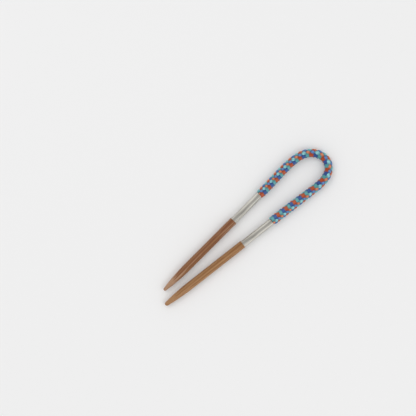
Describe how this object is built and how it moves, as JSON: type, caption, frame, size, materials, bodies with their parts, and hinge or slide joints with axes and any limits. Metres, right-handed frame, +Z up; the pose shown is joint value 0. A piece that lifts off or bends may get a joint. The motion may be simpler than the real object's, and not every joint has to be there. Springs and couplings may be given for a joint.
{
  "type": "stitch marker",
  "caption": "Springy cord loop with metal ferrules and two tapered wooden points, for marking or holding stitches.",
  "frame": {"origin": "on the surface the marker lies on, under the middle of the box of its two rigid arms", "axes": "+X along the marker from the wooden tips towards the cord loop, +Y towards the left arm, +Z up from the surface"},
  "size_m": [0.0756, 0.0156, 0.0031],
  "materials": {
    "point_wood": "sanded and waxed",
    "ferrule_metal": "satin drawn tube",
    "braid": "satin yarn"
  },
  "bodies": {
    "left_arm": {"left_point": "point_wood", "left_ferrule": "ferrule_metal", "left_cord": "braid"},
    "loop_top": {"loop_cord": "braid"},
    "right_arm": {"right_point": "point_wood", "right_ferrule": "ferrule_metal", "right_cord": "braid"}
  },
  "joints": [
    {"name": "left_bend", "type": "hinge", "parent": "left_arm", "child": "loop_top", "pos_m": [0.0443, 0.00545, 0.00153], "axis": [0, 0, 1], "range_deg": [-1, 40], "stiffness_Nm_per_rad": 0.001, "deforming": ["left_cord", "loop_cord"]},
    {"name": "right_bend", "type": "hinge", "parent": "loop_top", "child": "right_arm", "pos_m": [0.04345, -0.0063, 0.00153], "axis": [0, 0, 1], "range_deg": [-1, 40], "stiffness_Nm_per_rad": 0.001, "deforming": ["right_cord"]}
  ],
  "couplings": [
    {"joint": "right_bend", "follows": "left_bend", "ratio": 1}
  ]
}
